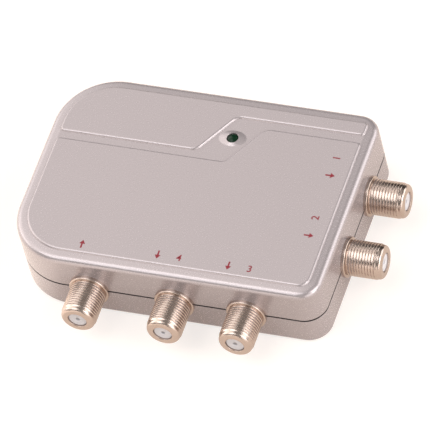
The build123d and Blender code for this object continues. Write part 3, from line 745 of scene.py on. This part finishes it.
def thread_tree():
    tree = bpy.data.node_groups.new("threaded_barrel", "GeometryNodeTree")
    face = tree.interface
    face.new_socket("Geometry", in_out="OUTPUT", socket_type="NodeSocketGeometry")
    for title, kind in (
        ("Start", "Float"),
        ("Length", "Float"),
        ("Outer Radius", "Float"),
        ("Depth", "Float"),
        ("Pitch", "Float"),
        ("Around", "Int"),
        ("Along", "Int"),
        ("Material", "Material"),
    ):
        face.new_socket(title, in_out="INPUT", socket_type=f"NodeSocket{kind}")
    given = tree.nodes.new("NodeGroupInput").outputs

    def sums(operation, *feeds):
        return maths(tree, operation, *feeds)

    grid = add_node(tree, "GeometryNodeMeshGrid", {
        "Vertices X": given["Along"], "Vertices Y": sums("ADD", given["Around"], 1),
    })
    position = tree.nodes.new("GeometryNodeInputPosition").outputs[0]
    spot = add_node(tree, "ShaderNodeSeparateXYZ", {0: position}).outputs
    along = sums("MULTIPLY", sums("ADD", spot["X"], 0.5), given["Length"])
    turn = sums("ADD", spot["Y"], 0.5)
    angle = sums("MULTIPLY", turn, 2 * math.pi)

    phase = sums("FRACT", sums("SUBTRACT", sums("DIVIDE", along, given["Pitch"]), turn))
    wave = sums("ABSOLUTE", sums("SUBTRACT", sums("MULTIPLY", phase, 2), 1))
    crest = eased(tree, wave, 0.0, GROOVE_SHARE)
    end_gap = sums("MINIMUM", along, sums("SUBTRACT", given["Length"], along))
    fade = eased(tree, sums("DIVIDE", end_gap, given["Pitch"]), 0.0, FADE_TURNS)
    cut = sums("SUBTRACT", 1, sums("MULTIPLY", crest, fade))
    radius = sums("SUBTRACT", given["Outer Radius"], sums("MULTIPLY", cut, given["Depth"]))

    rolled = add_node(tree, "ShaderNodeCombineXYZ", {
        "X": sums("ADD", along, given["Start"]),
        "Y": sums("MULTIPLY", sums("MULTIPLY", radius, sums("SINE", angle)), -1),
        "Z": sums("MULTIPLY", radius, sums("COSINE", angle)),
    })
    roll = add_node(tree, "GeometryNodeSetPosition", {
        "Geometry": grid.outputs["Mesh"], "Position": rolled.outputs[0],
    })
    seam = add_node(tree, "GeometryNodeMergeByDistance", {
        "Geometry": roll.outputs[0], "Distance": WELD,
    })
    real = add_node(tree, "GeometryNodeRealizeInstances", {"Geometry": seam.outputs[0]})
    paint = add_node(tree, "GeometryNodeSetMaterial", {
        "Geometry": real.outputs[0], "Material": given["Material"],
    })
    add_node(tree, "NodeGroupOutput", {0: paint.outputs[0]})
    return tree


# %% Roll the barrel once
collar_thickness = 1.0 * MM
thread_dims = mounts["input_socket"]["dims"]
thread_length, thread_radius = thread_dims["length_mm"] * MM, thread_dims["r_mm"] * MM
thread_pitch = 25.4 / 32 * MM
thread_depth = 0.18 * MM
thread_turns = thread_length / thread_pitch
ROWS_PER_TURN = 16


def grown(name, tree, inputs):
    """Object whose mesh the tree makes from the named inputs, as a plain mesh."""
    bm = bmesh.new()
    piece = new_piece(name, bm)
    grow = piece.modifiers.new("grow", "NODES")
    grow.node_group = tree
    for item in tree.interface.items_tree:
        if item.in_out == "INPUT":
            grow[item.identifier] = inputs[item.name]
    take_mesh(piece, evaluated_mesh(piece))
    return piece


barrel = grown("threaded_barrel", thread_tree(), {
    "Start": collar_thickness,
    "Length": thread_length,
    "Outer Radius": thread_radius,
    "Depth": thread_depth,
    "Pitch": thread_pitch,
    "Around": AROUND,
    "Along": round(thread_turns * ROWS_PER_TURN),
    "Material": finishes["socket_nickel"],
})
print("barrel:", len(barrel.data.polygons), "faces,", round(thread_turns, 1), "turns")

# %% [markdown]
# ## The socket bodies
# Before its thread the socket has a round collar against the wall, and after it a plain nose with
# a rounded end. Behind the wall it is square: a flange that the ribs hold, and a milled block with
# four legs on the board. The turned ends are skins of rings that share the barrel's end circles,
# so merging them with the barrel makes one closed solid. The bore is cut last. Only corners over
# 60 degrees stay crisp, because plating softens the thread's own.

# %% Sizes and profiles of the socket body
nose_radius, nose_length, nose_rounding = 4.55 * MM, 1.2 * MM, 1.0 * MM
nose_shoulder, nose_face_radius = 0.12 * MM, nose_radius - 1.5 * nose_rounding
collar_radius, collar_rounding = 5.4 * MM, 0.3 * MM
neck_radius = 4.9 * MM
flange_back, block_length = 3.3 * MM, 5.0 * MM
block_half, block_rise, block_drop = 4.8 * MM, 4.6 * MM, 2.5 * MM
leg_radius, leg_drop = 0.5 * MM, 5.1 * MM
flange_half_side, flange_corner_radius = 5.5 * MM, 1.5 * MM
flange_front, flange_break = 2.1 * MM, 0.12 * MM
root_radius = thread_radius - thread_depth
thread_end = collar_thickness + thread_length
reach = thread_end + nose_length

neck_back = -flange_front - 2 * flange_break
collar_profile = [
    (neck_back, neck_radius - flange_break),
    (neck_back, neck_radius),
    (0, neck_radius),
    (0, collar_radius),
]
collar_profile += [
    (collar_thickness - collar_rounding + rise, collar_radius - inset)
    for inset, rise in quarter(collar_rounding, 4)
]
collar_profile.append((collar_thickness, root_radius))
nose_profile = [(thread_end, root_radius), (thread_end + nose_shoulder, nose_radius)]
nose_profile += [
    (reach - nose_rounding + rise, nose_radius - inset) for inset, rise in quarter(nose_rounding, 8)
]
nose_profile.append((reach, nose_face_radius))


# %% Collar and nose joined to the barrel
def add_skin(bm, profile, closed_end):
    """Open turned skin about +X, in step with the barrel, with a cap at one end of its profile."""
    loops = []
    for place, radius in profile:
        ring = circle_ring((0, 0, 0), (1, 0, 0), radius, place, AROUND)
        loops.append([bm.verts.new(point) for point in ring])
    for near, far in zip(loops, loops[1:]):
        for i in range(AROUND):
            j = (i + 1) % AROUND
            bm.faces.new((near[i], near[j], far[j], far[i]))
    bm.faces.new(loops[closed_end])


bm = bmesh.new()
bm.from_mesh(barrel.data)
add_skin(bm, collar_profile, 0)
add_skin(bm, nose_profile, -1)
bmesh.ops.remove_doubles(bm, verts=bm.verts, dist=2 * WELD)
bmesh.ops.recalc_face_normals(bm, faces=bm.faces)
print("open edges in the turned body:", sum(edge.is_boundary for edge in bm.edges))
socket = new_piece("socket", bm)
bpy.data.objects.remove(barrel, do_unlink=True)


# %% Flange, block and legs
def facing_out(piece):
    """Turns a piece drawn upright so that its +Z points out of the wall, along +X."""
    piece.data.transform(Matrix(((0, 0, 1), (1, 0, 0), (0, 1, 0))).to_4x4())
    return piece


flange_corners = [
    (x * flange_half_side, y * flange_half_side, flange_corner_radius)
    for x, y in ((-1, -1), (1, -1), (1, 1), (-1, 1))
]
flange = facing_out(loft("flange", [
    outline_ring(flange_corners, inset, height, 6)
    for inset, height in (
        (flange_break, -flange_back),
        (0, -flange_back + flange_break),
        (0, -flange_front - flange_break),
        (flange_break, -flange_front),
    )
]))
block_corners = [
    (-block_half, -block_drop, flange_break),
    (block_half, -block_drop, flange_break),
    (block_half, block_rise, flange_break),
    (-block_half, block_rise, flange_break),
]
block_back = -flange_back - block_length
block = facing_out(loft("block", [
    outline_ring(block_corners, inset, height, 3)
    for inset, height in (
        (flange_break, block_back),
        (0, block_back + flange_break),
        (0, -flange_front - flange_break),
    )
]))
legs = [
    upright("leg", x, y, -leg_drop, -block_drop + flange_break, leg_radius, 20)
    for x in (-flange_back - 2 * leg_radius, block_back + 2 * leg_radius)
    for y in (2 * leg_radius - block_half, block_half - 2 * leg_radius)
]
carve(socket, [flange, block] + legs, "UNION")
print("socket with its square parts:", len(socket.data.polygons), "faces")

# %% Bore, and a body in each socket
bore_radius, tail_radius, bore_break = 2.5 * MM, 1.6 * MM, 0.15 * MM
crisp_angle = 60.0


def set_in_sockets(pattern, ending, slot, node_ending):
    """Settles a copy of the pattern in each of the five sockets, and removes the pattern."""
    for name in socket_names:
        piece = bpy.data.objects.new(f"{name}_socket_{ending}", pattern.data.copy())
        bpy.context.scene.collection.objects.link(piece)
        piece.data.transform(socket_turn(name))
        settle(piece, finishes[slot], slot, f"{name}_socket_{node_ending}")
    bpy.data.objects.remove(pattern, do_unlink=True)


bore = lathe("bore", (0, 0, 0), (1, 0, 0), [
    (block_back - wall, tail_radius),
    (-wall, tail_radius),
    (-wall, bore_radius),
    (reach - bore_break, bore_radius),
    (reach + wall, bore_radius + bore_break + wall),
], AROUND)
carve(socket, [bore])
smooth(socket, crisp_angle)
set_in_sockets(socket, "turned", "socket_nickel", "body")

# %% [markdown]
# ## The white insulators
# A white plastic sleeve fills the bore and leaves one small hole for the plug's centre wire. The
# hole has a funnel, so that the wire finds its way, and the sleeve's front edge is rounded. Seen
# from above only its front disc shows, nearly level with the end of the nose.

# %% Insulators
sleeve_radius, sleeve_recess = 2.45 * MM, 0.4 * MM
sleeve_tail, sleeve_way = 1.55 * MM, 0.95 * MM
entry_radius, entry_lip, entry_funnel = 0.6 * MM, 0.8 * MM, 0.12 * MM
sleeve_edge, sleeve_play = 0.2 * MM, 0.05 * MM
sleeve_front = reach - sleeve_recess
sleeve_profile = [
    (block_back, sleeve_tail),
    (-wall + sleeve_play, sleeve_tail),
    (-wall + sleeve_play, sleeve_radius),
]
sleeve_profile += [
    (sleeve_front - sleeve_edge + rise, sleeve_radius - inset)
    for inset, rise in quarter(sleeve_edge, 5)
]
sleeve = lathe("sleeve", (0, 0, 0), (1, 0, 0), sleeve_profile, 64)
carve(sleeve, [lathe("entry", (0, 0, 0), (1, 0, 0), [
    (block_back - wall, sleeve_way),
    (sleeve_front - entry_lip, sleeve_way),
    (sleeve_front - entry_lip, entry_radius),
    (sleeve_front - entry_funnel, entry_radius),
    (sleeve_front + entry_funnel, entry_radius + 2 * entry_funnel),
], 64)])
smooth(sleeve)
set_in_sockets(sleeve, "sleeve", "insulator_white", "insulator")

# %% [markdown]
# ## The lamp
# A small green lamp stands on the board and looks out of the boss. Its nose is a low dome with a
# rounded edge, so it catches small reflections. It is a turned solid like the sockets, seen on
# end. The dome is part of a parabola, drawn by shares of the radius, down to a tiny flat tip.

# %% Lamp
lamp_radius, lamp_nose, lamp_dome = 1.5 * MM, 0.25 * MM, 0.4 * MM
lamp_collar_radius, lamp_collar_height = 1.9 * MM, 1.0 * MM
dome_shares = (0.9, 0.8, 0.7, 0.6, 0.5, 0.4, 0.3, 0.2, 0.1, 0.03)
lamp_profile = [
    (lamp_low.z, lamp_collar_radius),
    (lamp_low.z + lamp_collar_height, lamp_collar_radius),
    (lamp_low.z + lamp_collar_height, lamp_radius),
]
lamp_profile += [
    (lamp_high.z - lamp_dome - lamp_nose + rise, lamp_radius - inset)
    for inset, rise in quarter(lamp_nose, 6)
]
lamp_profile += [
    (lamp_high.z - lamp_dome * share ** 2, (lamp_radius - lamp_nose) * share)
    for share in dome_shares
]
lamp = lathe("lamp_nose", (lamp_x, lamp_y, 0), (0, 0, 1), lamp_profile, 64)
smooth(lamp)
settle(lamp, finishes["lamp_green"], "lamp_green", "lamp_lens")

# %% [markdown]
# ## Printed marks
# The face is marked in dark red beside each socket. The marks here are plain ones: a number at
# each output and an arrow that shows which way the signal goes. A mark is a thin film of ink, so
# each is a flat shape with a hundredth or two of a millimetre of body, laid on the panel.

# %% Figures and arrows
ink = grained("dark_red_ink", (0.25, 0.014, 0.028), 0.0, 0.45, 0.2, 0.001, 0.08)
figure_height, figure_weight = 2.0 * MM, 0.03 * MM
CAPITAL_SHARE = 0.7


def flat_mesh(shape):
    """Text or flat curve as a plain mesh with the film's thickness, its middle at the origin."""
    shape.extrude = print_film / 2
    piece = bpy.data.objects.new("mark", shape)
    bpy.context.scene.collection.objects.link(piece)
    mesh = evaluated_mesh(piece)
    bpy.data.objects.remove(piece, do_unlink=True)
    xs = [v.co.x for v in mesh.vertices]
    ys = [v.co.y for v in mesh.vertices]
    mesh.transform(Matrix.Translation((-(min(xs) + max(xs)) / 2, -(min(ys) + max(ys)) / 2, 0)))
    return mesh


def figure(text):
    shape = bpy.data.curves.new("figure", "FONT")
    shape.body = text
    shape.size = figure_height / CAPITAL_SHARE
    shape.offset = figure_weight
    return flat_mesh(shape)


def arrow():
    """Short arrow along +X, drawn by its outline."""
    length, head, head_half, stem_half = 2.6 * MM, 1.2 * MM, 0.8 * MM, 0.22 * MM
    spots = [
        (0, -stem_half), (length - head, -stem_half), (length - head, -head_half), (length, 0),
        (length - head, head_half), (length - head, stem_half), (0, stem_half),
    ]
    shape = bpy.data.curves.new("arrow", "CURVE")
    shape.dimensions = "2D"
    shape.fill_mode = "BOTH"
    line = shape.splines.new("POLY")
    line.points.add(len(spots) - 1)
    for point, (x, y) in zip(line.points, spots):
        point.co = (x, y, 0, 1)
    line.use_cyclic_u = True
    return flat_mesh(shape)


# %% Marks on the panel
def turned(angle):
    return Matrix.Rotation(angle, 4, "Z")


# number or none, x and y in mm, turn of the pair, turn of the arrow in it
square = math.pi / 2
mark_rows = [
    ("", -22.3, -24.6, 0, square),
    ("4", 1.5, -24.3, 0, -square),
    ("3", 20.9, -24.4, 0, -square),
    ("1", 35.5, 11.5, square, -square),
    ("2", 35.8, -8.3, square, -square),
]
pair_half_gap = 2.9 * MM
marks = []
for text, x, y, turn, arrow_turn in mark_rows:
    here = Matrix.Translation((x * MM, y * MM, panel_top - print_film / 2)) @ turned(turn)
    half_gap = pair_half_gap if text else 0
    sign = arrow()
    sign.transform(here @ Matrix.Translation((-half_gap, 0, 0)) @ turned(arrow_turn))
    marks.append(sign)
    if text:
        number = figure(text)
        number.transform(here @ Matrix.Translation((half_gap, 0, 0)))
        marks.append(number)
bm = bmesh.new()
for mesh in marks:
    bm.from_mesh(mesh)
    bpy.data.meshes.remove(mesh)
bmesh.ops.remove_doubles(bm, verts=bm.verts, dist=WELD / 2)
bmesh.ops.recalc_face_normals(bm, faces=bm.faces)
settle(new_piece("printed_marks", bm), ink, "case_silver")

# %% [markdown]
# ## Background and the light that the world gives
# The photograph is a product shot on pure white, so the camera sees the world as plain white past
# the floor. All other rays see a dim and slightly warm fill. Nickel and silver paint show what
# stands round them: the room was bright on the left, most of all high up, and dark behind and in
# front. The bright part makes the rim lighter in front and on the left than at the back, and its
# edge draws the pale and brown bands along the threads. In the world these are soft round patches:
# the ray's direction is compared with the patch's by a dot product.

# %% World
scene = bpy.context.scene
scene.view_settings.view_transform = "Standard"
world = bpy.data.worlds.new("studio")
scene.world = world
world.use_nodes = True
fill_strength = 0.3
fill_colour, white = (1.0, 0.94, 0.895, 1), (1, 1, 1, 1)
# direction, angles in degrees at which the patch is full and gone, factor on the fill
patches = [
    ((-0.74, 0.25, 0.62), 20.0, 46.0, 5.8),
    ((-1.0, -0.15, 0.05), 12.0, 40.0, 2.2),
    ((-0.315, -0.80, 0.50), 8.0, 20.0, 0.1),
    ((-0.15, 0.98, 0.1), 16.0, 58.0, 0.1),
]


def world_nodes():
    tree = world.node_tree
    direction = tree.nodes.new("ShaderNodeTexCoord").outputs["Generated"]
    strength = fill_strength
    for centre, full, gone, factor in patches:
        facing = add_node(tree, "ShaderNodeVectorMath", {
            0: direction, 1: Vector(centre).normalized(),
        }, operation="DOT_PRODUCT").outputs["Value"]
        limits = [math.cos(math.radians(angle)) for angle in (gone, full)]
        strength = maths(tree, "MULTIPLY", strength, eased(tree, facing, *limits, 1.0, factor))
    fill = tree.nodes["Background"]
    fill.inputs["Color"].default_value = fill_colour
    tree.links.new(strength, fill.inputs["Strength"])
    plain = add_node(tree, "ShaderNodeBackground", {"Color": white})
    path = tree.nodes.new("ShaderNodeLightPath").outputs
    choose = add_node(tree, "ShaderNodeMixShader", {
        0: path["Is Camera Ray"],
        1: fill.outputs["Background"],
        2: plain.outputs["Background"],
    })
    tree.links.new(choose.outputs["Shader"], tree.nodes["World Output"].inputs["Surface"])


world_nodes()
print("world: fill", fill_strength, "patches", len(patches))

# %% [markdown]
# ## The floor
# The floor is card in a pale warm grey. For the camera some light of its own brings it up to white,
# and it still takes the object's shadow, because its diffuse part is shaded as usual. For glossy rays
# it gives out a painted glow of its own, darker and warmer, which the walls show as a painted
# reflection. On the left the table was better lit, and there the rounded corner shines almost white,
# so this painted glow rises from right to left along X.

# %% Floor
floor_half, floor_drop = 1.5, 0.05 * MM
floor_lift = 0.66
# strength of the floor's painted glow in reflections, on the right and at the left corner
floor_sheen, floor_sheen_left = 0.5, 1.1
card_colour, card_roughness = (0.46, 0.40, 0.35, 1), 0.9
# warm tint of that painted reflection
warm_gloss = (1.0, 0.88, 0.78, 1)
bm = bmesh.new()
bmesh.ops.create_grid(bm, x_segments=1, y_segments=1, size=floor_half)
bmesh.ops.translate(bm, verts=bm.verts, vec=(0, 0, -floor_drop))
floor = new_piece("floor", bm)
card = bpy.data.materials.new("pale_card")
card.use_nodes = True
tree = card.node_tree
path = tree.nodes.new("ShaderNodeLightPath").outputs
place = tree.nodes.new("ShaderNodeTexCoord").outputs["Object"]
across = add_node(tree, "ShaderNodeSeparateXYZ", {0: place}).outputs["X"]
seen = maths(tree, "MAXIMUM", path["Is Camera Ray"], path["Is Transmission Ray"])
lift = maths(tree, "MULTIPLY", seen, floor_lift)
corner_end = case_left + left_corner_radius
# painted glow for glossy rays, rising toward the case's left corner
leftness = eased(tree, across, case_left, corner_end, floor_sheen_left, floor_sheen)
sheen = maths(tree, "MULTIPLY", path["Is Glossy Ray"], leftness)
glow = add_node(tree, "ShaderNodeMix", {
    "Factor": path["Is Glossy Ray"], "A": white, "B": warm_gloss,
}, data_type="RGBA").outputs["Result"]
card_shader = tree.nodes["Principled BSDF"]
card_shader.inputs["Base Color"].default_value = card_colour
card_shader.inputs["Roughness"].default_value = card_roughness
tree.links.new(maths(tree, "MAXIMUM", lift, sheen), card_shader.inputs["Emission Strength"])
tree.links.new(glow, card_shader.inputs["Emission Color"])
floor.data.materials.append(card)
print("floor half side, m:", floor_half)

# %% [markdown]
# ## The lamps
# Six soft boxes light the case at a plain level. A large one overhead, toward the front, draws the
# white line along the rounded front edge. One at the back on the right draws the same line along
# the right edge, and one on the right whitens the slanting edge beside the lamp. One at the back on
# the left keeps that side of the nickel pale. Two stay low in front: the one on the right gives
# the bright band along the threads, and the weak warm one lifts the front wall. Each is aimed at
# the middle of the case.

# %% Lamps
case_middle = Vector((0, 0, 0.01))
near_white = (1.0, 0.98, 0.97)


def soft_box(name, place, width, height, watts, colour=(1, 1, 1)):
    """Rectangular area lamp at a place in metres."""
    light = bpy.data.lights.new(name, "AREA")
    light.shape = "RECTANGLE"
    light.size, light.size_y = width, height
    light.energy = watts
    light.color = colour
    box = bpy.data.objects.new(name, light)
    scene.collection.objects.link(box)
    place = Vector(place)
    aim = (case_middle - place).to_track_quat("-Z", "Y").to_matrix().to_4x4()
    box.matrix_world = Matrix.Translation(place) @ aim


soft_box("box_overhead", (-0.40, -0.44, 1.09), 0.7, 1.05, 5.4)
soft_box("box_right_back", (0.90, 0.70, 0.50), 0.9, 0.8, 5.0, near_white)
soft_box("box_right", (1.0, -0.12, 0.72), 0.7, 0.8, 6.5, near_white)
soft_box("box_left_back", (-0.90, 0.76, 0.5), 0.8, 0.9, 1.8, near_white)
soft_box("box_front_right", (0.98, -0.68, 0.32), 1.1, 0.7, 4.2, (1.0, 0.96, 0.93))
soft_box("box_front", (-0.3, -1.25, 0.25), 0.9, 0.4, 1.7, (1.0, 0.90, 0.82))
print("lamps:", len(bpy.data.lights))

# %% [markdown]
# ## The last update
# The script ends by bringing the view layer up to date.

# %% Last update
bpy.context.view_layer.update()
